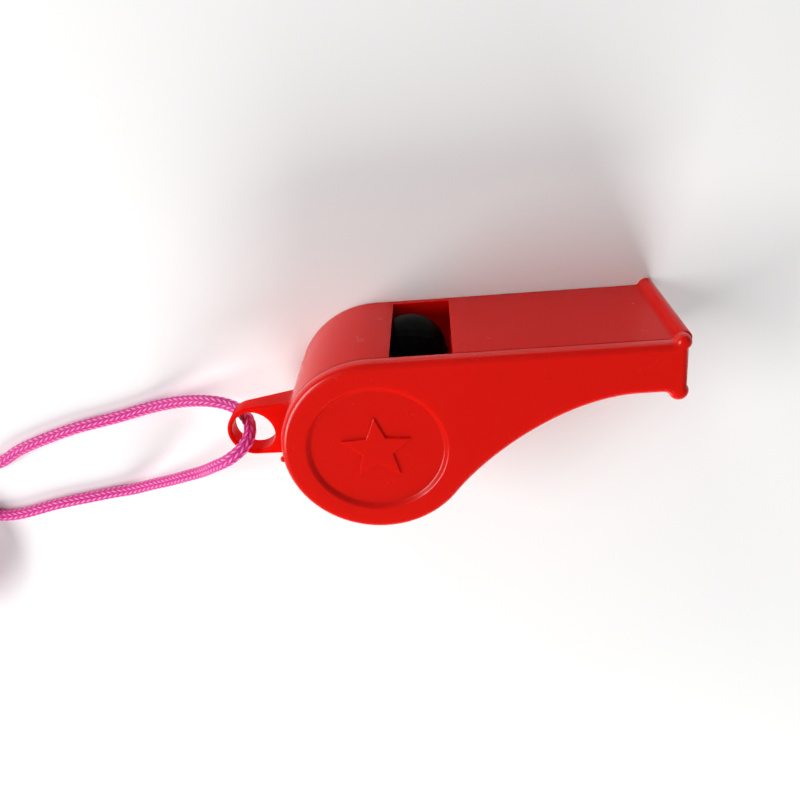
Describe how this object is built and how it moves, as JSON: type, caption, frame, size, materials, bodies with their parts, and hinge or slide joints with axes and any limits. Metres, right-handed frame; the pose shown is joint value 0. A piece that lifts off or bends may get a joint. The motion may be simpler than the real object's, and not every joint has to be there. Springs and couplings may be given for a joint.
{
  "type": "whistle",
  "caption": "Moulded plastic pea whistle: round chamber with a window and a loose ball, flat mouthpiece, bonded side cover, and a knotted neck cord through its eye.",
  "frame": {"origin": "on the axis of the round chamber, in the outer face of the flat cheek that the whistle lies on", "axes": "+X towards the mouth end, +Y towards the window side, +Z out of the side cover"},
  "size_m": [0.1159, 0.0442, 0.0165],
  "materials": {
    "red_plastic": "satin moulded plastic, slightly glossy, with fine handling scratches",
    "black_plastic": "dull moulded ball with a faint parting line",
    "pink_cord": "fine round braid of shiny yarn"
  },
  "bodies": {
    "whistle": {"body_shell": "red_plastic", "side_cover": "red_plastic", "lanyard_stretch": "pink_cord", "lanyard_coil": "pink_cord", "lanyard_knot": "pink_cord"},
    "pea": {"pea": "black_plastic"}
  },
  "joints": [
    {"name": "pea_rattle", "type": "slide", "parent": "whistle", "child": "pea", "axis": [-0.5321, -0.8467, 0], "range_m": [0, 0.01212]}
  ]
}
